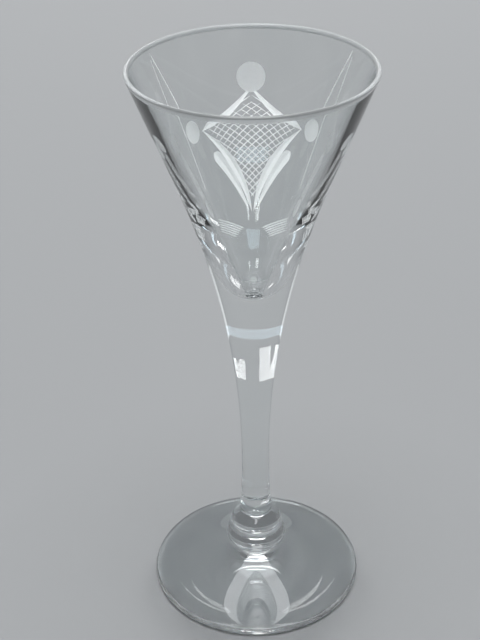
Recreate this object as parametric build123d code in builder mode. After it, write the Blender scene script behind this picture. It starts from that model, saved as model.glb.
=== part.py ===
"""Cordial glass with a drawn trumpet bowl, built from the pieces of hot glass that make it up.

Millimetres and degrees. +Z is up, the glass stands on z = 0 and its axis is the Z axis.
"""
import os
from math import asin, cos, degrees, radians, sin, sqrt, tan

from build123d import *

# Overall sizes
glass_height = 133.0
rim_radius = 26.15
foot_radius = 25.25

# Bowl
flare_angle = 21.1
lip_thickness = 1.15
lip_round = 0.5
bowl_depth = 51.5
floor_wall = 4.4
floor_thickness = 7.5

# Stem
waist_height = 35.0
waist_radius = 3.3
stem_base_radius = 3.5
stem_base_taper = 0.5

# Collar, knop and wafer between the stem and the foot
collar_radius = 3.93
collar_thickness = 3.0
collar_bulge = 0.55
knop_radius = 6.15
knop_thickness = 4.7
knop_band_height = 3.4
knop_bulge = 0.9
wafer_radius = 7.2
wafer_thickness = 4.2
wafer_bulge = 1.2

# Foot
foot_crown_height = 9.4
foot_crown_radius = 6.4
foot_edge_thickness = 2.0
foot_edge_bulge = 0.8
foot_sag = 0.9
foot_ring_width = 4.0
foot_hollow_depth = 1.5

# Wheel-cut ornament on the outside of the bowl: one large round cut at the back, smaller cuts to both sides
# Angles are counted both ways from the middle of the ornament, and drops down from the rim
ornament_azimuth = 90.0
printie_depth = 0.35
crown_printie_radius = 3.3
crown_printie_drop = 11.0
side_printie_radius = 2.4
side_printie_places = [(51.5, 21.0), (84.5, 19.6)]
olive_length = 4.6
olive_width = 2.6
olive_depth = 0.4
olive_angle = 71.0
olive_drop = 36.0

# Heights of the joints, from the foot up
wafer_top = foot_crown_height + wafer_thickness
knop_top = wafer_top + knop_thickness
collar_top = knop_top + collar_thickness
floor_height = glass_height - bowl_depth
bowl_joint_height = floor_height - floor_thickness

# Outer curve of the bowl and stem: an arc that starts upright at the waist and runs into a straight flare
flare = radians(flare_angle)
lip_edge = glass_height - lip_round
waist_to_lip = lip_edge - waist_height
rise = rim_radius - waist_radius
arc_height = (waist_to_lip * tan(flare) - rise) / (tan(flare) - tan(flare / 2))
arc_radius = arc_height / sin(flare)
flare_start = waist_height + arc_height


def outer_radius(z):
    """Radius of the outer curve at a height above the waist."""
    if z > flare_start:
        return rim_radius - (lip_edge - z) * tan(flare)
    return waist_radius + arc_radius - sqrt(arc_radius**2 - (z - waist_height) ** 2)


def outer_lean(z):
    """Angle of the outer curve from upright, in degrees."""
    if z > flare_start:
        return flare_angle
    return degrees(asin((z - waist_height) / arc_radius))


def turned(profile_lines):
    """Solid turned about Z from lines drawn in the XZ plane."""
    with BuildPart() as piece:
        with BuildSketch(Plane.XZ):
            with BuildLine():
                profile_lines()
            make_face()
        revolve(axis=Axis.Z)
    return piece


def bulged_disc(bottom, top, radius, bulge):
    """Disc between two heights whose edge is one outward arc."""

    def profile():
        Polyline((radius - bulge, top), (0, top), (0, bottom), (radius - bulge, bottom))
        ThreePointArc((radius - bulge, bottom), (radius, (bottom + top) / 2), (radius - bulge, top))

    return turned(profile)


# Bowl: thin wall, rounded lip, thick round floor; its lower end is flat where the stem is fused on
floor_radius = outer_radius(floor_height) - floor_wall
floor_centre = floor_height + floor_radius
inner_rim_radius = rim_radius - lip_thickness


def wall_tangent():
    """Point where the straight inner wall, drawn down from the lip, touches the round floor."""
    to_lip = Vector(inner_rim_radius, lip_edge - floor_centre)
    distance = to_lip.length
    along = to_lip * (floor_radius / distance) ** 2
    across = Vector(to_lip.Y, -to_lip.X) * (floor_radius * sqrt(distance**2 - floor_radius**2) / distance**2)
    return Vector(0, floor_centre) + along + across


def bowl_profile():
    joint = (outer_radius(bowl_joint_height), bowl_joint_height)
    arc_middle = (bowl_joint_height + flare_start) / 2
    flare_point = (outer_radius(flare_start), flare_start)
    lip_outside = (rim_radius, lip_edge)
    lip_top = (rim_radius - lip_thickness / 2, glass_height)
    lip_inside = (inner_rim_radius, lip_edge)
    tangent = wall_tangent()
    half_turn = sqrt(0.5) * floor_radius
    Polyline((0, floor_height), (0, bowl_joint_height), joint)
    ThreePointArc(joint, (outer_radius(arc_middle), arc_middle), flare_point)
    Line(flare_point, lip_outside)
    ThreePointArc(lip_outside, lip_top, lip_inside)
    Line(lip_inside, (tangent.X, tangent.Y))
    ThreePointArc((tangent.X, tangent.Y), (half_turn, floor_centre - half_turn), (0, floor_height))


bowl = turned(bowl_profile)


# Ornament: cuts made where a ball or a wheel bites into the wall
def wall_place(azimuth, drop):
    """Place on the outer wall, a drop below the rim: X round the wall, Y up along it, Z straight out."""
    z = glass_height - drop
    lean = radians(outer_lean(z))
    outward = Vector(cos(lean), 0, -sin(lean)).rotate(Axis.Z, azimuth)
    around = Vector(0, 1, 0).rotate(Axis.Z, azimuth)
    spot = Vector(outer_radius(z), 0, z).rotate(Axis.Z, azimuth)
    return Plane(origin=spot, x_dir=around, z_dir=outward)


def bite_radius(length, depth):
    """Radius of a wheel that leaves a cut of this length at this depth."""
    return (length**2 / 4 + depth**2) / (2 * depth)


def cut_printie(azimuth, drop, radius):
    ball = bite_radius(2 * radius, printie_depth)
    with Locations(wall_place(azimuth, drop)):
        with Locations((0, 0, ball - printie_depth)):
            Sphere(ball, mode=Mode.SUBTRACT)


def cut_olive(azimuth, drop):
    wheel = bite_radius(olive_length, olive_depth)
    rim = bite_radius(olive_width, olive_depth)
    with Locations(wall_place(azimuth, drop)):
        with Locations((0, 0, wheel - olive_depth)):
            Torus(wheel - rim, rim, rotation=(0, 90, 0), mode=Mode.SUBTRACT)


with bowl:
    cut_printie(ornament_azimuth, crown_printie_drop, crown_printie_radius)
    for side in (-1, 1):
        for angle, drop in side_printie_places:
            cut_printie(ornament_azimuth + side * angle, drop, side_printie_radius)
        cut_olive(ornament_azimuth + side * olive_angle, olive_drop)


# Stem: solid, drawn out to the waist and swelling again towards the collar
def stem_profile():
    base = stem_base_radius - stem_base_taper
    base_end = collar_top + stem_base_taper
    swell_height = (base_end + waist_height) / 2
    swell_radius = waist_radius + (stem_base_radius - waist_radius) / 3
    arc_middle = (waist_height + bowl_joint_height) / 2
    joint = (outer_radius(bowl_joint_height), bowl_joint_height)
    ThreePointArc((stem_base_radius, base_end), (swell_radius, swell_height), (waist_radius, waist_height))
    ThreePointArc((waist_radius, waist_height), (outer_radius(arc_middle), arc_middle), joint)
    Polyline(
        joint,
        (0, bowl_joint_height),
        (0, collar_top),
        (base, collar_top),
        (stem_base_radius, base_end),
    )


stem = turned(stem_profile)

# Collar: small bead under the stem
collar = bulged_disc(knop_top, collar_top, collar_radius, collar_bulge)


# Knop: rounded band with a shoulder that slopes up to the collar
def knop_profile():
    band_top = wafer_top + knop_band_height
    band_edge = knop_radius - knop_bulge
    neck = collar_radius - collar_bulge
    ThreePointArc((band_edge, wafer_top), (knop_radius, (wafer_top + band_top) / 2), (band_edge, band_top))
    Polyline(
        (band_edge, band_top),
        (neck, knop_top),
        (0, knop_top),
        (0, wafer_top),
        (band_edge, wafer_top),
    )


knop = turned(knop_profile)

# Wafer: round-edged disc that carries the knop on the foot
wafer = bulged_disc(foot_crown_height, wafer_top, wafer_radius, wafer_bulge)


# Foot: spread disc, hollowed a little below so that it stands on a flat ring
def foot_profile():
    edge = foot_radius - foot_edge_bulge
    ring_inner = edge - foot_ring_width
    dome_radius = bite_radius(2 * ring_inner, foot_hollow_depth)
    dome_drop = dome_radius - sqrt(dome_radius**2 - (ring_inner / 2) ** 2)
    slope_middle = (
        (foot_crown_radius + edge) / 2,
        (foot_crown_height + foot_edge_thickness) / 2 - foot_sag,
    )
    Polyline((0, foot_hollow_depth), (0, foot_crown_height), (foot_crown_radius, foot_crown_height))
    ThreePointArc((foot_crown_radius, foot_crown_height), slope_middle, (edge, foot_edge_thickness))
    ThreePointArc((edge, foot_edge_thickness), (foot_radius, foot_edge_thickness / 2), (edge, 0))
    Line((edge, 0), (ring_inner, 0))
    ThreePointArc((ring_inner, 0), (ring_inner / 2, foot_hollow_depth - dome_drop), (0, foot_hollow_depth))


foot = turned(foot_profile)

# Hand over every piece as its own file
pieces = {
    "bowl": bowl,
    "stem": stem,
    "stem_collar": collar,
    "knop": knop,
    "wafer": wafer,
    "foot": foot,
}
os.makedirs("parts", exist_ok=True)
for label, piece in pieces.items():
    piece.part.label = label
    export_step(piece.part, f"parts/{label}.step")
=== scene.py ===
from math import asin, atan2, cos, degrees, hypot, pi, radians, sin, sqrt, tan

import bpy
import numpy as np
from mathutils import Euler, Matrix, Vector
from mathutils.geometry import delaunay_2d_cdt


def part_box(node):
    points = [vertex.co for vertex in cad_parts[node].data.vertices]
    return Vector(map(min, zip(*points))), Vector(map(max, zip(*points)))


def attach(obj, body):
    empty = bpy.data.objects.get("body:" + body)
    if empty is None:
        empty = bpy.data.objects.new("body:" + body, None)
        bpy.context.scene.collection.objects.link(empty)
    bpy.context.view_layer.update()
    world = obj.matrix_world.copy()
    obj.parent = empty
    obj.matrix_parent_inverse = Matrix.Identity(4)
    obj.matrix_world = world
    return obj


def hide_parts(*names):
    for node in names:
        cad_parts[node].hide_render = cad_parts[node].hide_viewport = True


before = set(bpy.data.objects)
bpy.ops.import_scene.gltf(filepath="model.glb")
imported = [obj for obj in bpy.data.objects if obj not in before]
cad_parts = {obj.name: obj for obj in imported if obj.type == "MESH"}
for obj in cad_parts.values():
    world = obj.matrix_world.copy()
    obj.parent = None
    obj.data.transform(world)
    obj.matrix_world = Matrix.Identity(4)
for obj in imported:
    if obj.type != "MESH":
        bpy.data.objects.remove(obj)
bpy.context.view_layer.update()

# The glass is drawn in millimetres, and its meshes, the floor and the lights are in metres
MM = 0.001

# Points in each ring of a turned piece
COLUMNS = 192


# Sizes read from the frame, in millimetres
def span(node):
    """Largest radius, lowest and highest height of a CAD node."""
    low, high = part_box(node)
    return high[0] / MM, low[2] / MM, high[2] / MM


rim_radius, bowl_bottom, glass_height = span("bowl")
_, collar_top, _ = span("stem")
collar_radius, knop_top, _ = span("stem_collar")
knop_radius, wafer_top, _ = span("knop")
wafer_radius, foot_crown_height, _ = span("wafer")
foot_radius, _, _ = span("foot")

# Further sizes of the turned pieces, in millimetres and degrees
flare_angle = 21.1
lip_thickness = 1.15
lip_round = 0.5
floor_wall = 4.4
floor_thickness = 7.5
waist_height = 35.0
waist_radius = 3.3
stem_base_radius = 3.5
stem_base_taper = 0.5
collar_bulge = 0.55
knop_band_height = 3.4
knop_bulge = 0.9
wafer_bulge = 1.2
foot_crown_radius = 6.4
foot_edge_thickness = 2.0
foot_edge_bulge = 0.8
foot_sag = 0.9
foot_ring_width = 4.0
foot_hollow_depth = 1.5

# Angles, in degrees, beyond which an edge is shaded as sharp
turned_crease = 35
bowl_crease = 28

# Radii of the fused joints
stem_base = stem_base_radius - stem_base_taper
collar_neck = collar_radius - collar_bulge
knop_edge = knop_radius - knop_bulge
wafer_edge = wafer_radius - wafer_bulge

# Outer curve of bowl and stem: an arc from the waist into a straight flare
flare = radians(flare_angle)
lip_edge = glass_height - lip_round
rise = rim_radius - waist_radius
arc_height = ((lip_edge - waist_height) * tan(flare) - rise) / (tan(flare) - tan(flare / 2))
arc_radius = arc_height / sin(flare)
flare_start = waist_height + arc_height


def outer_radius(z):
    """Radius of the outer curve at a height above the waist."""
    if z > flare_start:
        return rim_radius - (lip_edge - z) * tan(flare)
    return waist_radius + arc_radius - sqrt(arc_radius**2 - (z - waist_height) ** 2)


def outer_lean(z):
    """Angle of the outer curve from upright."""
    if z > flare_start:
        return flare
    return asin((z - waist_height) / arc_radius)


# Profiles are lists of (radius, height)
def straight(start, end, steps):
    """Points from start to end, end left out."""
    start, end = np.array(start), np.array(end)
    return [tuple(start + (end - start) * k / steps) for k in range(steps)]


def arc(start, middle, end, steps):
    """Points of the circular arc through three points, end left out."""
    (ax, ay), (bx, by), (cx, cy) = start, middle, end
    divisor = 2 * (ax * (by - cy) + bx * (cy - ay) + cx * (ay - by))
    a_square, b_square, c_square = ax * ax + ay * ay, bx * bx + by * by, cx * cx + cy * cy
    centre_x = (a_square * (by - cy) + b_square * (cy - ay) + c_square * (ay - by)) / divisor
    centre_y = (a_square * (cx - bx) + b_square * (ax - cx) + c_square * (bx - ax)) / divisor
    radius = hypot(ax - centre_x, ay - centre_y)
    first, mid, last = (atan2(y - centre_y, x - centre_x) for x, y in (start, middle, end))
    sweep = (last - first) % (2 * pi)
    if (mid - first) % (2 * pi) > sweep:
        sweep -= 2 * pi
    turns = [first + sweep * k / steps for k in range(steps)]
    return [(centre_x + radius * cos(turn), centre_y + radius * sin(turn)) for turn in turns]


def outer_points(low, high, steps):
    """Points of the outer curve between two heights, the high one left out."""
    heights = [low + (high - low) * k / steps for k in range(steps)]
    return [(outer_radius(z), z) for z in heights]


# Materials
NUMBER, COLOUR = "NodeSocketFloat", "NodeSocketColor"

# Sockets of a colour Mix and of a Mix Shader, which share their names with others of the same node
MIX_FACTOR, MIX_FIRST, MIX_SECOND, MIX_RESULT = 0, 6, 7, 2
FIRST_SHADER, SECOND_SHADER = 1, 2

glass_ior = 1.52


def set_inputs(node, values):
    """Constants on the input sockets of a node."""
    for socket, value in values.items():
        node.inputs[socket].default_value = value


def add_node(tree, kind, values=None):
    """New node, with constants on its input sockets."""
    node = tree.nodes.new(kind)
    set_inputs(node, values or {})
    return node


def add_ramp(tree, low, high):
    """Ramp between two colours, each given as (position, colour)."""
    ramp = tree.nodes.new("ShaderNodeValToRGB")
    for element, (position, colour) in zip(ramp.color_ramp.elements, (low, high)):
        element.position = position
        element.color = (*colour, 1)
    return ramp


def new_group(name, inputs, outputs):
    """Shader node group with named sockets: its tree, input node and output node."""
    tree = bpy.data.node_groups.new(name, "ShaderNodeTree")
    for way, sockets in (("INPUT", inputs), ("OUTPUT", outputs)):
        for socket, kind in sockets.items():
            tree.interface.new_socket(socket, in_out=way, socket_type=kind)
    return tree, tree.nodes.new("NodeGroupInput"), tree.nodes.new("NodeGroupOutput")


def add_group(tree, group, values):
    """Node group placed in a material, with the material's own values."""
    node = tree.nodes.new("ShaderNodeGroup")
    node.node_tree = group
    set_inputs(node, values)
    return node


def new_material(name):
    """Material, its node tree and its Principled shader."""
    made = bpy.data.materials.new(name)
    made.use_nodes = True
    tree = made.node_tree
    return made, tree, tree.nodes["Principled BSDF"]


def handmade_group():
    """Faint unevenness of hand-worked glass: cords of tint, a breath of haze and slow waves."""
    tree, given, out = new_group(
        "handmade_glass",
        {"Cord Scale": NUMBER, "Most Haze": NUMBER},
        {"Tint": COLOUR, "Haze": NUMBER, "Wave": NUMBER},
    )
    place = add_node(tree, "ShaderNodeTexCoord")
    stretch = add_node(tree, "ShaderNodeMapping", {"Scale": (150, 150, 28)})
    cords = add_node(tree, "ShaderNodeTexNoise", {"Detail": 2.0})
    specks = add_node(tree, "ShaderNodeTexNoise", {"Scale": 900, "Detail": 3.0})
    tint = add_ramp(tree, (0.35, (0.90, 0.92, 0.92)), (0.7, (0.94, 0.955, 0.955)))
    haze = add_node(tree, "ShaderNodeMapRange", {"From Min": 0.55, "From Max": 0.8})
    link = tree.links.new
    link(place.outputs["Object"], stretch.inputs["Vector"])
    link(stretch.outputs["Vector"], cords.inputs["Vector"])
    link(given.outputs["Cord Scale"], cords.inputs["Scale"])
    link(place.outputs["Object"], specks.inputs["Vector"])
    link(cords.outputs["Fac"], tint.inputs["Fac"])
    link(specks.outputs["Fac"], haze.inputs["Value"])
    link(given.outputs["Most Haze"], haze.inputs["To Max"])
    link(tint.outputs["Color"], out.inputs["Tint"])
    link(haze.outputs["Result"], out.inputs["Haze"])
    link(cords.outputs["Fac"], out.inputs["Wave"])
    return tree


def grit_group():
    """Ground surface that the cutting wheel leaves: pale and grey specks, uneven roughness, fine pits."""
    tree, given, out = new_group(
        "wheel_grit",
        {"Grain Scale": NUMBER, "Least Roughness": NUMBER, "Most Roughness": NUMBER},
        {"Shade": COLOUR, "Roughness": NUMBER, "Grain": NUMBER},
    )
    place = add_node(tree, "ShaderNodeTexCoord")
    grain = add_node(tree, "ShaderNodeTexNoise", {"Detail": 4.0})
    shade = add_ramp(tree, (0.0, (0.82, 0.85, 0.86)), (1.0, (0.98, 0.99, 0.99)))
    rough = add_node(tree, "ShaderNodeMapRange")
    link = tree.links.new
    link(place.outputs["Object"], grain.inputs["Vector"])
    link(given.outputs["Grain Scale"], grain.inputs["Scale"])
    link(grain.outputs["Fac"], shade.inputs["Fac"])
    link(grain.outputs["Fac"], rough.inputs["Value"])
    link(given.outputs["Least Roughness"], rough.inputs["To Min"])
    link(given.outputs["Most Roughness"], rough.inputs["To Max"])
    link(shade.outputs["Color"], out.inputs["Shade"])
    link(rough.outputs["Result"], out.inputs["Roughness"])
    link(grain.outputs["Fac"], out.inputs["Grain"])
    return tree


handmade = handmade_group()
wheel_grit = grit_group()


def clear_glass():
    """Fire-polished glass, its colour darkened by painted shade where the eye grazes it."""
    made, tree, shader = new_material("clear_glass")
    set_inputs(shader, {"Transmission Weight": 1.0, "IOR": glass_ior})
    uneven = add_group(tree, handmade, {"Cord Scale": 1.0, "Most Haze": 0.04})
    bump = add_node(tree, "ShaderNodeBump", {"Strength": 0.03, "Distance": 0.2 * MM})
    # Painted shade: towards grazing angles the colour is mixed into a grey, standing in for darker
    # surroundings seen in the edges
    edge = add_node(tree, "ShaderNodeLayerWeight", {"Blend": 0.5})
    depth = add_node(tree, "ShaderNodeMapRange", {"From Min": 0.6, "To Max": 1.0})
    tint = tree.nodes.new("ShaderNodeMix")
    tint.data_type = "RGBA"
    set_inputs(tint, {MIX_SECOND: (0.45, 0.50, 0.51, 1)})
    link = tree.links.new
    link(edge.outputs["Facing"], depth.inputs["Value"])
    link(depth.outputs["Result"], tint.inputs[MIX_FACTOR])
    link(uneven.outputs["Tint"], tint.inputs[MIX_FIRST])
    link(tint.outputs[MIX_RESULT], shader.inputs["Base Color"])
    link(uneven.outputs["Haze"], shader.inputs["Roughness"])
    link(uneven.outputs["Wave"], bump.inputs["Height"])
    link(bump.outputs["Normal"], shader.inputs["Normal"])
    return made


def cut_glass(name, clear_share, glow_share):
    """Ground left by the cutting wheel: the smoother the wheel, the more of it is clear."""
    made, tree, shader = new_material(name)
    set_inputs(shader, {"Transmission Weight": clear_share, "IOR": glass_ior})
    ground = add_group(
        tree,
        wheel_grit,
        {"Grain Scale": 2600, "Least Roughness": 0.38, "Most Roughness": 0.62},
    )
    bump = add_node(tree, "ShaderNodeBump", {"Strength": 0.3, "Distance": 0.08 * MM})
    glow = add_node(tree, "ShaderNodeBsdfTranslucent")
    both = add_node(tree, "ShaderNodeMixShader", {"Fac": glow_share})
    link = tree.links.new
    link(ground.outputs["Shade"], shader.inputs["Base Color"])
    link(ground.outputs["Roughness"], shader.inputs["Roughness"])
    link(ground.outputs["Grain"], bump.inputs["Height"])
    link(bump.outputs["Normal"], shader.inputs["Normal"])
    link(ground.outputs["Shade"], glow.inputs["Color"])
    link(shader.outputs["BSDF"], both.inputs[FIRST_SHADER])
    link(glow.outputs["BSDF"], both.inputs[SECOND_SHADER])
    link(both.outputs["Shader"], tree.nodes["Material Output"].inputs["Surface"])
    return made


def worn_lip():
    """Lip dulled by handling."""
    made, tree, shader = new_material("worn_lip")
    set_inputs(shader, {"Transmission Weight": 0.45, "IOR": glass_ior})
    uneven = add_group(tree, handmade, {"Cord Scale": 1.0})
    dull = add_node(tree, "ShaderNodeMapRange", {"To Min": 0.06, "To Max": 0.14})
    link = tree.links.new
    link(uneven.outputs["Tint"], shader.inputs["Base Color"])
    link(uneven.outputs["Wave"], dull.inputs["Value"])
    link(dull.outputs["Result"], shader.inputs["Roughness"])
    return made


def fused_joint():
    """Face inside the glass where two pieces have run together: nothing of it is seen."""
    made, _, shader = new_material("fused_joint")
    set_inputs(shader, {"Alpha": 0.0})
    return made


# Finishes of the faces, numbered as in the list of materials
GLASS, FUSED, CUT, WORN, SMOOTHED = range(5)
materials = [
    clear_glass(),
    fused_joint(),
    cut_glass("cut_glass", clear_share=0.1, glow_share=0.7),
    worn_lip(),
    cut_glass("smoothed_cut", clear_share=0.6, glow_share=0.2),
]


# Turned pieces
def ring(radius, height):
    """Points of a level ring about the axis, the first at +X."""
    turns = np.arange(COLUMNS) * 2 * pi / COLUMNS
    return np.stack([radius * np.cos(turns), radius * np.sin(turns), np.full(COLUMNS, height)], 1)


class Shell:
    """Collects the points and faces of one piece, in millimetres, with the finish of each face."""

    def __init__(self):
        self.points = []
        self.faces = []
        self.finishes = []

    def add_points(self, points):
        """Adds points and gives their numbers."""
        first = len(self.points)
        self.points.extend(map(tuple, points))
        return list(range(first, first + len(points)))

    def add_face(self, corners, finish):
        """Adds one face with its finish."""
        self.faces.append(corners)
        self.finishes.append(finish)

    def bridge(self, rings, finish=GLASS):
        """Faces between each ring and the next, looking out where the next lies above on the outside."""
        for lower, upper in zip(rings, rings[1:]):
            for k in range(COLUMNS):
                j = (k + 1) % COLUMNS
                self.add_face((lower[k], lower[j], upper[j], upper[k]), finish)

    def close(self, edge, height, upward, finish):
        """Fan from a ring to the axis."""
        (centre,) = self.add_points([(0, 0, height)])
        for k in range(COLUMNS):
            j = (k + 1) % COLUMNS
            self.add_face((edge[k], edge[j], centre) if upward else (edge[j], edge[k], centre), finish)

    def mesh(self, name):
        """Mesh in metres, shaded smooth."""
        made = bpy.data.meshes.new(name)
        made.from_pydata([tuple(c * MM for c in p) for p in self.points], [], self.faces)
        for material in materials:
            made.materials.append(material)
        made.polygons.foreach_set("material_index", self.finishes)
        made.polygons.foreach_set("use_smooth", [True] * len(self.faces))
        made.update()
        return made


def stand_in(name, node, mesh):
    """Piece that is shown in place of a CAD node."""
    piece = bpy.data.objects.new(name, mesh)
    bpy.context.scene.collection.objects.link(piece)
    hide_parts(node)
    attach(piece, "root")


def turned_piece(name, node, profile, base_height, base_finish=FUSED):
    """Closed piece turned from its profile, which runs along the outside from the lower to the upper end.

    The base height is that of the middle of its underside.
    """
    shell = Shell()
    rings = [shell.add_points(ring(radius, height)) for radius, height in profile]
    shell.close(rings[0], base_height, False, base_finish)
    shell.bridge(rings)
    top_height = profile[-1][1]
    shell.close(rings[-1], top_height, True, FUSED)
    mesh = shell.mesh(name)
    mesh.set_sharp_from_angle(angle=radians(turned_crease))
    stand_in(name, node, mesh)


def bulged_profile(bottom, top, radius, bulge, steps):
    """Edge of a disc between two heights: one outward arc."""
    edge = radius - bulge
    points = arc((edge, bottom), (radius, (bottom + top) / 2), (edge, top), steps)
    return points + [(edge, top)]


def build_stem():
    """Stem, from its tapered base over the waist to the joint under the bowl."""
    base_end = (stem_base_radius, collar_top + stem_base_taper)
    swell_height = (base_end[1] + waist_height) / 2
    swell_radius = waist_radius + (stem_base_radius - waist_radius) / 3
    waist = (waist_radius, waist_height)
    profile = straight((stem_base, collar_top), base_end, steps=3)
    profile += arc(base_end, (swell_radius, swell_height), waist, steps=12)
    profile += outer_points(waist_height, bowl_bottom, steps=30)
    profile += [(outer_radius(bowl_bottom), bowl_bottom)]
    turned_piece("glass_stem", "stem", profile, collar_top)


def build_collar():
    """Small bead under the stem."""
    profile = bulged_profile(knop_top, collar_top, collar_radius, collar_bulge, steps=16)
    profile += [(stem_base, collar_top)]
    turned_piece("glass_collar", "stem_collar", profile, knop_top)


def build_knop():
    """Rounded band with a shoulder that slopes up to the collar."""
    band_top = wafer_top + knop_band_height
    profile = bulged_profile(wafer_top, band_top, knop_radius, knop_bulge, steps=20)
    profile += straight((knop_edge, band_top), (collar_neck, knop_top), steps=5)[1:]
    profile += [(collar_neck, knop_top)]
    turned_piece("glass_knop", "knop", profile, wafer_top)


def build_wafer():
    """Round-edged disc that carries the knop on the foot."""
    profile = bulged_profile(foot_crown_height, wafer_top, wafer_radius, wafer_bulge, steps=22)
    profile += [(knop_edge, wafer_top)]
    turned_piece("glass_wafer", "wafer", profile, foot_crown_height)


def build_foot():
    """Foot, from the middle of the hollow underneath, round the edge and up to the wafer."""
    edge = foot_radius - foot_edge_bulge
    ring_inner = edge - foot_ring_width
    dome_radius = (ring_inner**2 + foot_hollow_depth**2) / (2 * foot_hollow_depth)
    dome_drop = dome_radius - sqrt(dome_radius**2 - (ring_inner / 2) ** 2)
    hollow_top = (0, foot_hollow_depth)
    hollow_middle = (ring_inner / 2, foot_hollow_depth - dome_drop)
    hollow_end = (ring_inner, 0)
    edge_bottom = (edge, 0)
    edge_middle = (foot_radius, foot_edge_thickness / 2)
    edge_top = (edge, foot_edge_thickness)
    slope_middle = (
        (foot_crown_radius + edge) / 2,
        (foot_crown_height + foot_edge_thickness) / 2 - foot_sag,
    )
    crown = (foot_crown_radius, foot_crown_height)
    profile = arc(hollow_top, hollow_middle, hollow_end, steps=16)[1:]
    profile += straight(hollow_end, edge_bottom, steps=3)
    profile += arc(edge_bottom, edge_middle, edge_top, steps=14)
    profile += arc(edge_top, slope_middle, crown, steps=30)
    profile += [crown, (wafer_edge, foot_crown_height)]
    turned_piece("glass_foot", "foot", profile, foot_hollow_depth, GLASS)


# Ornament, cut into the outside of the bowl
# Places on the wall are angles in degrees, both ways from the middle of the ornament, and heights
# Drops are counted down from the rim
ornament_azimuth = 90

# Zone of the wall that holds the cuts, its rows of points and the radius at which it is laid flat
cut_zone_low = 86.0
cut_zone_high = glass_height - 1.3
cut_zone_rows = 32
flat_radius = 18.0

# Depth at which a face counts as cut, and a depth below which no cut goes
least_depth = 0.002
beyond_cuts = 0.45

# Round and oval cuts
printie_depth = 0.35
crown_printie_radius = 3.3
crown_printie_drop = 11.0
side_printie_radius = 2.4
side_printie_places = [(51.5, 21.0), (84.5, 19.6)]
olive_half_width = 1.3
olive_half_height = 2.3
olive_depth = 0.4
olive_angle = 71.0
olive_drop = 36.0

# Kite
kite_top = (1.2, 119.5)
kite_side = (42.0, 111.3)
kite_foot = (1.0, 93.5)
kite_top_curve = 0.7
kite_top_gap = 0.6
kite_foot_curve = 0.75
kite_foot_gap = 1.2

# Crossed lines in the kite
hatch_spacing = 1.15
hatch_slope = 0.72
hatch_middle = 107.0
hatch_lines_each_way = 14
hatch_reach = 22
hatch_sample = 0.1
hatch_least_samples = 20
hatch_half_width = 0.11
hatch_depth = 0.06

# Fine lines beside the kite: upper end, lower end, count and spacing
side_lines = [
    ((83.0, 111.2), (72.6, 99.0), 4, 0.6),
    ((60.0, 131.0), (60.8, 99.6), 1, 0.0),
    ((59.0, 131.0), (51.0, 118.0), 1, 0.0),
]
side_line_half_width = 0.18
side_line_depth = 0.1

# Fan of fine lines under the kite: both ends of its uppermost and its lowest line
fan_lines = 6
fan_upper = [(14.0, 89.6), (60.0, 93.6)]
fan_lower = [(30.0, 87.9), (70.0, 91.2)]
fan_half_width = 0.2
fan_depth = 0.1


def wall_measures(places):
    """Radius and cosine of the lean of the wall at each place."""
    radii = np.array([outer_radius(z) for z in places[:, 1]])
    cosines = np.array([cos(outer_lean(z)) for z in places[:, 1]])
    return radii, cosines


class HollowCut:
    """Round or oval cut with a hollow like a shallow bowl."""

    ring_points = 36
    ring_shares = (1.0, 0.7, 0.4)

    def __init__(self, angle, height, half_width, half_height, depth):
        self.middle = np.array([angle, height], float)
        self.half_width = half_width
        self.half_height = half_height
        self.depth = depth

    def closed_ring(self, share):
        """Ring at a share of the full size, with its first point repeated at the end."""
        turns = np.arange(self.ring_points) * 2 * pi / self.ring_points
        radius, lean = outer_radius(self.middle[1]), outer_lean(self.middle[1])
        across = np.degrees(share * self.half_width * np.cos(turns) / radius)
        up = share * self.half_height * np.sin(turns) * cos(lean)
        places = self.middle + np.stack([across, up], 1)
        return np.vstack([places, places[:1]])

    def chains(self):
        """Closed rings from the edge inwards, and the middle."""
        return [self.closed_ring(share) for share in self.ring_shares] + [self.middle[None, :]]

    def depths(self, places):
        """Depth of the cut at each place."""
        radii, cosines = wall_measures(places)
        across = np.radians(places[:, 0] - self.middle[0]) * radii
        up = (places[:, 1] - self.middle[1]) / cosines
        share = (across / self.half_width) ** 2 + (up / self.half_height) ** 2
        return self.depth * np.clip(1 - share, 0, 1)


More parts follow.
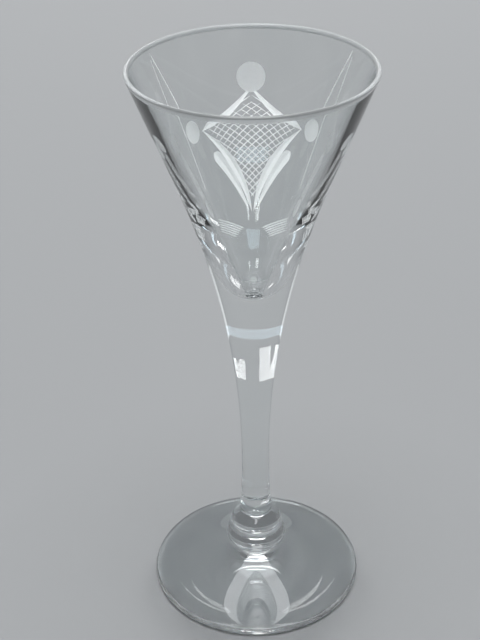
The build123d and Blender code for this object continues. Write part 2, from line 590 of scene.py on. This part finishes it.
class MitreCut:
    """Groove along a centre line. Its shape gives width and depth from start to end.

    The step is the spacing of its points.
    """

    least_steps = 6
    length_samples = 30
    samples_per_step = 8
    spare_reach = 0.2

    def __init__(self, places, half_width, depth, shape, step=0.5):
        self.places = np.array(places, float)
        self.half_width = half_width
        self.depth = depth
        self.shape = shape
        self.steps = max(self.least_steps, int(self.length() / step))

    def along(self, t):
        """Centre line at parameters t: straight through two places, a curve through three."""
        t = t[:, None]
        if len(self.places) == 2:
            start, end = self.places
            return start + (end - start) * t
        start, middle, end = self.places
        bend = 2 * middle - (start + end) / 2
        return (1 - t) ** 2 * start + 2 * t * (1 - t) * bend + t**2 * end

    def length(self):
        """Length of the centre line, measured on the wall laid flat."""
        line = self.along(np.linspace(0, 1, self.length_samples))
        radii, cosines = wall_measures(line)
        flat = np.stack([np.radians(line[:, 0]) * radii, line[:, 1] / cosines], 1)
        return np.hypot(*np.diff(flat, axis=0).T).sum()

    def chains(self):
        """Left edge, centre line and right edge."""
        t = np.linspace(0, 1, self.steps + 1)
        line = self.along(t)
        radii, cosines = wall_measures(line)
        across = np.gradient(np.radians(line[:, 0])) * radii
        up = np.gradient(line[:, 1]) / cosines
        size = np.hypot(across, up) / (self.half_width * self.shape(t))
        shift = np.stack([np.degrees(-up / size / radii), across / size * cosines], 1)
        return [line + shift, line, line - shift]

    def depths(self, places):
        """Depth of the cut at each place."""
        t = np.linspace(0, 1, self.samples_per_step * self.steps + 1)
        line = self.along(t)
        reach = self.half_width + self.spare_reach
        margin = np.array([degrees(reach / outer_radius(cut_zone_low)), reach])
        near = np.all((places > line.min(0) - margin) & (places < line.max(0) + margin), 1)
        found = np.zeros(len(places))
        if not near.any():
            return found
        radii, cosines = wall_measures(places[near])
        across = np.radians(places[near, 0][:, None] - line[None, :, 0]) * radii[:, None]
        up = (places[near, 1][:, None] - line[None, :, 1]) / cosines[:, None]
        distance = np.hypot(across, up)
        best = distance.argmin(1)
        width = self.shape(t)[best]
        share = distance[np.arange(len(best)), best] / (self.half_width * width)
        found[near] = self.depth * width * np.clip(1 - share, 0, 1)
        return found


# Shapes of a mitre cut: share of its full width from start (0) to end (1)
point_width = 0.03


def leaf(t):
    """Widest in the middle, pointed at both ends."""
    return np.maximum(1 - (2 * t - 1) ** 2, point_width)


def drop_leaf(t):
    """Broad rounded start that tapers to a point."""
    round_share = 0.15
    taper_curve = 0.7
    start = np.sqrt(np.clip(1 - (1 - np.minimum(t / round_share, 1)) ** 2, 0, 1))
    return np.maximum(start * (1 - t) ** taper_curve, point_width)


def swelling(t):
    """Thin start that widens towards a pointed end."""
    start_width = 0.25
    growth = 1.1
    end_slope = 4.5
    width = np.minimum(start_width + growth * t, (1 - t) * end_slope)
    return np.maximum(width, point_width).clip(max=1)


def hair(t):
    """Fine line that fades in and out."""
    fade_share = 0.06
    end_width = 0.15
    return np.clip(np.minimum(t, 1 - t) / fade_share, end_width, 1)


# Leaf cuts that frame half of the kite: start, middle and end, half width, depth and shape
kite_leaves = [
    ([kite_top, (18.5, 114.5), kite_side], 1.0, 0.35, swelling),
    ([(41.5, 111.5), (17.5, 103.2), kite_foot], 0.95, 0.35, leaf),
    ([(35.0, 106.6), (20.0, 100.6), (5.0, 93.9)], 1.35, 0.4, drop_leaf),
]


def on_side(side, places):
    """Places taken to one side of the ornament: -1 or 1."""
    return [(side * angle, height) for angle, height in places]


def printie(angle, drop, radius):
    """Round cut."""
    return HollowCut(angle, glass_height - drop, radius, radius, printie_depth)


def olive(angle, drop):
    """Upright oval cut."""
    return HollowCut(angle, glass_height - drop, olive_half_width, olive_half_height, olive_depth)


def kite_edges():
    """Leaf cuts that frame the kite, the same on both sides."""
    return [
        MitreCut(on_side(side, places), half_width, depth, shape)
        for side in (-1, 1)
        for places, half_width, depth, shape in kite_leaves
    ]


def in_kite(angle, height):
    """Whether a place lies inside the kite's frame."""
    share = abs(angle) / kite_side[0]
    top = kite_top[1] + (kite_side[1] - kite_top[1]) * share**kite_top_curve
    bottom = kite_foot[1] + (kite_side[1] - kite_foot[1]) * share**kite_foot_curve
    return bottom + kite_foot_gap < height < top - kite_top_gap


def hatch():
    """Two crossing sets of fine lines inside the kite, along its upper edges."""
    strokes = []
    radius = outer_radius(hatch_middle)
    direction = np.array([1.0, hatch_slope]) / hypot(1, hatch_slope)
    normal = np.array([-direction[1], direction[0]])
    reach = np.arange(-hatch_reach, hatch_reach, hatch_sample)
    for side in (-1, 1):
        for k in range(-hatch_lines_each_way, hatch_lines_each_way + 1):
            line = normal * k * hatch_spacing + direction * reach[:, None]
            places = [(degrees(x / radius), hatch_middle + y) for x, y in line]
            inside = [place for place in places if in_kite(*place)]
            if len(inside) > hatch_least_samples:
                ends = on_side(side, [inside[0], inside[-1]])
                strokes.append(MitreCut(ends, hatch_half_width, hatch_depth, hair, step=1.5))
    return strokes


def bundle(top, bottom, count, spacing):
    """Parallel fine lines from one place to another."""
    strokes = []
    for k in range(count):
        shift = (k - (count - 1) / 2) * spacing
        ends = [(angle + degrees(shift / outer_radius(z)), z) for angle, z in (top, bottom)]
        strokes.append(MitreCut(ends, side_line_half_width, side_line_depth, hair, step=1.5))
    return strokes


def base_fan(side):
    """Fine lines under the kite, one below the other, that spread out to the side."""
    strokes = []
    for k in range(fan_lines):
        share = k / (fan_lines - 1)
        ends = [
            (angle + (low_angle - angle) * share, height + (low_height - height) * share)
            for (angle, height), (low_angle, low_height) in zip(fan_upper, fan_lower)
        ]
        strokes.append(MitreCut(on_side(side, ends), fan_half_width, fan_depth, hair, step=1.0))
    return strokes


def ornament():
    """All cuts, the large round one first."""
    cuts = [printie(0, crown_printie_drop, crown_printie_radius)] + kite_edges() + hatch()
    for side in (-1, 1):
        cuts += [printie(side * angle, drop, side_printie_radius) for angle, drop in side_printie_places]
        cuts += [olive(side * olive_angle, olive_drop)]
        for top, bottom, count, spacing in side_lines:
            cuts += bundle(*on_side(side, (top, bottom)), count, spacing)
        cuts += base_fan(side)
    return cuts


def cut_depths(places, cuts):
    """Depth of the deepest cut at each place."""
    found = np.zeros(len(places))
    for cut in cuts:
        found = np.maximum(found, cut.depths(places))
    return found


# Bowl
floor_height = bowl_bottom + floor_thickness
lip_steps = 14

# Places nearer than this are one point, and places on the wall are told apart by this many decimals
same_point = 1e-4
place_decimals = 4


def cut_wall(cuts):
    """Places and triangles of the cut zone, with the outlines of the cuts as edges."""
    heights = np.linspace(cut_zone_low, cut_zone_high, cut_zone_rows)
    angles = np.arange(COLUMNS + 1) * 360 / COLUMNS - 180
    width = COLUMNS + 1
    chains = [np.array([(angle, height) for angle in angles]) for height in heights]
    last_row = (cut_zone_rows - 1) * width
    edges = [(row + k, row + k + 1) for row in (0, last_row) for k in range(COLUMNS)]
    for k in range(cut_zone_rows - 1):
        edges += [(k * width + side, (k + 1) * width + side) for side in (0, COLUMNS)]
    count = cut_zone_rows * width
    for cut in cuts:
        for chain in cut.chains():
            chains.append(chain)
            edges += [(count + k, count + k + 1) for k in range(len(chain) - 1)]
            count += len(chain)
    flat = [Vector((radians(angle) * flat_radius, height)) for angle, height in np.concatenate(chains)]
    points, _, triangles, *_ = delaunay_2d_cdt(flat, edges, [], 0, same_point, False)
    spots = np.array([(degrees(p.x / flat_radius), p.y) for p in points])
    return spots, [tuple(t) for t in triangles]


def wall_normal(azimuth, height):
    """Direction straight out of the uncut wall."""
    lean = outer_lean(height)
    return cos(lean) * cos(azimuth), cos(lean) * sin(azimuth), -sin(lean)


def wall_key(angle, height):
    """Place on the wall, rounded so that equal places are found again."""
    return round(angle, place_decimals), round(height, place_decimals)


def add_wall_points(shell, spots, depths):
    """Sinks each spot into the wall by its depth. The two sides of the seam at the front share points.

    Gives the number of each spot's point, and the numbers by place.
    """
    by_place = {}
    numbers = []
    for (angle, height), depth in zip(spots, depths):
        turn = angle if angle < 180 - same_point else angle - 360
        key = wall_key(turn, height)
        if key not in by_place:
            azimuth = radians(turn + ornament_azimuth)
            radius = outer_radius(height)
            spot = Vector((radius * cos(azimuth), radius * sin(azimuth), height))
            spot -= Vector(wall_normal(azimuth, height)) * depth
            (by_place[key],) = shell.add_points([spot])
        numbers.append(by_place[key])
    return numbers, by_place


def wall_finishes(spots, triangles, cuts):
    """Finish of each triangle of the wall; only the first cut is smoothed."""
    middles = spots[np.array(triangles)].mean(1)
    is_cut = cut_depths(middles, cuts) > least_depth
    is_smoothed = cut_depths(middles, cuts[:1]) > least_depth
    return np.where(is_smoothed, SMOOTHED, np.where(is_cut, CUT, GLASS))


def add_cut_wall(shell):
    """Outer wall with its cuts; gives the rings along its lower and its upper border."""
    cuts = ornament()
    spots, triangles = cut_wall(cuts)
    numbers, by_place = add_wall_points(shell, spots, cut_depths(spots, cuts))
    for triangle, finish in zip(triangles, wall_finishes(spots, triangles, cuts)):
        corners = tuple(numbers[k] for k in triangle)
        if len(set(corners)) == 3:
            shell.add_face(corners, int(finish))
    turns = [k * 360 / COLUMNS - 180 for k in range(COLUMNS)]
    borders = (cut_zone_low, cut_zone_high)
    return [[by_place[wall_key(turn, height)] for turn in turns] for height in borders]


def inner_profile():
    """Profile over the lip, down the straight inner wall and round the floor, its middle left out."""
    floor_radius = outer_radius(floor_height) - floor_wall
    floor_centre = floor_height + floor_radius
    lip_outside = (rim_radius, lip_edge)
    lip_top = (rim_radius - lip_thickness / 2, glass_height)
    lip_inside = (rim_radius - lip_thickness, lip_edge)
    to_lip = Vector((lip_inside[0], lip_edge - floor_centre))
    distance = to_lip.length
    tangent_length = sqrt(distance**2 - floor_radius**2)
    along = to_lip * (floor_radius / distance) ** 2
    across = Vector((to_lip.y, -to_lip.x)) * (floor_radius * tangent_length / distance**2)
    touch = tuple(Vector((0, floor_centre)) + along + across)
    half_turn = sqrt(0.5) * floor_radius
    profile = arc(lip_outside, lip_top, lip_inside, lip_steps)
    profile += straight(lip_inside, touch, steps=40)
    profile += arc(touch, (half_turn, floor_centre - half_turn), (0, floor_height), steps=20)
    return profile


def front_ring(radius, height):
    """Ring that starts at the front, as the borders of the cut wall do."""
    return np.roll(ring(radius, height), COLUMNS // 4, 0)


def smooth_wall(mesh):
    """Sharp edges where a cut meets the wall, and exact normals on the uncut wall."""
    finishes_beside = {}
    for polygon in mesh.polygons:
        for key in polygon.edge_keys:
            finishes_beside.setdefault(key, set()).add(polygon.material_index)
    mesh.set_sharp_from_angle(angle=radians(bowl_crease))
    for edge in mesh.edges:
        beside = finishes_beside[edge.key]
        if beside & {CUT, SMOOTHED} and len(beside) > 1:
            edge.use_edge_sharp = True
    normals = [tuple(n.vector) for n in mesh.corner_normals]
    wall_top = cut_zone_high + 0.01
    for polygon in mesh.polygons:
        if polygon.material_index != GLASS:
            continue
        for loop in polygon.loop_indices:
            x, y, z = (c / MM for c in mesh.vertices[mesh.loops[loop].vertex_index].co)
            looks_out = polygon.normal.x * x + polygon.normal.y * y > 0
            near_outside = hypot(x, y) > outer_radius(z) - beyond_cuts
            if looks_out and near_outside and bowl_bottom < z < wall_top:
                normals[loop] = wall_normal(atan2(y, x), z)
    mesh.normals_split_custom_set(normals)


def build_bowl():
    """Bowl: cut wall, plain wall below it, lip, inner wall and round floor."""
    shell = Shell()
    low_border, high_border = add_cut_wall(shell)
    plain_wall = outer_points(bowl_bottom, cut_zone_low, steps=16)
    rings = [shell.add_points(front_ring(*point)) for point in plain_wall] + [low_border]
    shell.bridge(rings)
    shell.close(rings[0], bowl_bottom, False, FUSED)
    rings = [high_border] + [shell.add_points(front_ring(*point)) for point in inner_profile()]
    lip_end = lip_steps + 1
    shell.bridge(rings[: lip_end + 1], WORN)
    shell.bridge(rings[lip_end:])
    shell.close(rings[-1], floor_height, True, GLASS)
    mesh = shell.mesh("glass_bowl")
    smooth_wall(mesh)
    stand_in("glass_bowl", "bowl", mesh)


build_foot()
build_wafer()
build_knop()
build_collar()
build_stem()
build_bowl()

# Floor, in metres
floor_half_size = 4.0
floor_level = -0.1 * MM


def pale_paint():
    """Matt paint, barely uneven."""
    made, tree, shader = new_material("pale_floor")
    set_inputs(shader, {"Roughness": 0.9, "Specular IOR Level": 0.0})
    noise = add_node(tree, "ShaderNodeTexNoise", {"Scale": 3.0})
    shade = add_ramp(tree, (0.0, (0.43, 0.435, 0.44)), (1.0, (0.46, 0.465, 0.47)))
    tree.links.new(noise.outputs["Fac"], shade.inputs["Fac"])
    tree.links.new(shade.outputs["Color"], shader.inputs["Base Color"])
    return made


def build_floor():
    """Square floor just under the foot."""
    corner_signs = [(-1, -1), (1, -1), (1, 1), (-1, 1)]
    corners = [(x * floor_half_size, y * floor_half_size, floor_level) for x, y in corner_signs]
    mesh = bpy.data.meshes.new("floor")
    mesh.from_pydata(corners, [], [(0, 1, 2, 3)])
    mesh.materials.append(pale_paint())
    floor = bpy.data.objects.new("floor", mesh)
    bpy.context.scene.collection.objects.link(floor)


# Light: places and sizes in metres, the spread in degrees
glass_middle = (0, 0, 0.08)
fill_spread = 60


def soft_box(name, place, aim, width, height, power, colour=(1, 1, 1)):
    """Rectangular light that looks at a point."""
    light = bpy.data.lights.new(name, "AREA")
    light.shape = "RECTANGLE"
    light.size = width
    light.size_y = height
    light.energy = power
    light.color = colour
    box = bpy.data.objects.new(name, light)
    box.location = place
    box.rotation_euler = (Vector(aim) - Vector(place)).to_track_quat("-Z", "Y").to_euler()
    box.visible_camera = False
    bpy.context.scene.collection.objects.link(box)
    return box


def highlight_box(name, **settings):
    """Soft box that draws a highlight in the glass and leaves the floor as it is."""
    box = soft_box(name, **settings)
    box.visible_diffuse = False


def back_fill(name, **settings):
    """Soft box that whitens the cut ground from behind and isn't mirrored in the polished glass."""
    box = soft_box(name, **settings)
    box.data.spread = radians(fill_spread)
    box.visible_glossy = False
    box.visible_transmission = False


def light_all_round():
    """Dim even light from all sides and a broad soft light from above."""
    world = bpy.data.worlds.new("studio")
    bpy.context.scene.world = world
    world.use_nodes = True
    set_inputs(world.node_tree.nodes["Background"], {"Color": (0.86, 0.90, 0.94, 1), "Strength": 0.2})
    top_light = bpy.data.lights.new("top_light", "SUN")
    top_light.angle = radians(40)
    top_light.energy = 1.75
    top_light.color = (0.96, 0.98, 1.0)
    bpy.context.scene.collection.objects.link(bpy.data.objects.new("top_light", top_light))


def place_boxes():
    """Boxes for the highlights on rim, foot and stem, and the two fills."""
    highlight_box(
        "rim_box",
        place=(0.0, 0.90, 0.58),
        aim=glass_middle,
        width=0.16,
        height=0.22,
        power=0.55,
    )
    highlight_box(
        "front_box",
        place=(0.0, -0.60, 0.18),
        aim=(0, 0, 0.075),
        width=0.60,
        height=0.045,
        power=0.40,
        colour=(0.70, 0.88, 1.0),
    )
    highlight_box(
        "right_low_window",
        place=(0.085, -0.37, 0.033),
        aim=(0, 0, 0.033),
        width=0.03,
        height=0.055,
        power=0.093,
    )
    highlight_box(
        "left_low_window",
        place=(-0.076, -0.372, 0.05),
        aim=(0, 0, 0.05),
        width=0.066,
        height=0.095,
        power=0.355,
    )
    for name, side in (("left", -1), ("right", 1)):
        back_fill(
            name + "_back_fill",
            place=(side * 0.6, 1.6, 0.35),
            aim=glass_middle,
            width=0.80,
            height=0.50,
            power=2.2,
        )
        highlight_box(
            name + "_edge_box",
            place=(side * 0.151, 0.088, 0.05),
            aim=(0, 0, 0.05),
            width=0.05,
            height=0.06,
            power=0.0058,
        )


# Camera, from a fit to the rim and foot in the photograph, in millimetres and degrees
camera_place = (-3.22, -259.3, 233.1)
camera_pitch = 31.72
camera_roll = -0.88
lens_length = 76.14
sensor_height = 36.0
nearest_seen = 10.0


def build_camera():
    """Camera at the photograph's viewing angle."""
    optics = bpy.data.cameras.new("camera")
    optics.sensor_fit = "VERTICAL"
    optics.sensor_height = sensor_height
    optics.lens = lens_length
    optics.clip_start = nearest_seen * MM
    camera = bpy.data.objects.new("camera", optics)
    place = Matrix.Translation([c * MM for c in camera_place])
    tilt = Euler((radians(90 - camera_pitch), 0, 0)).to_matrix().to_4x4()
    roll = Matrix.Rotation(radians(camera_roll), 4, "Z")
    camera.matrix_world = place @ tilt @ roll
    bpy.context.scene.collection.objects.link(camera)
    bpy.context.scene.camera = camera


build_floor()
light_all_round()
place_boxes()
build_camera()

# Many bounces let light through all the walls; few mirrored ones keep the wall from repeating the ornament
scene = bpy.context.scene
scene.view_settings.view_transform = "Standard"
scene.cycles.max_bounces = 48
scene.cycles.transmission_bounces = 48
scene.cycles.transparent_max_bounces = 32
scene.cycles.glossy_bounces = 7
scene.cycles.blur_glossy = 0.0
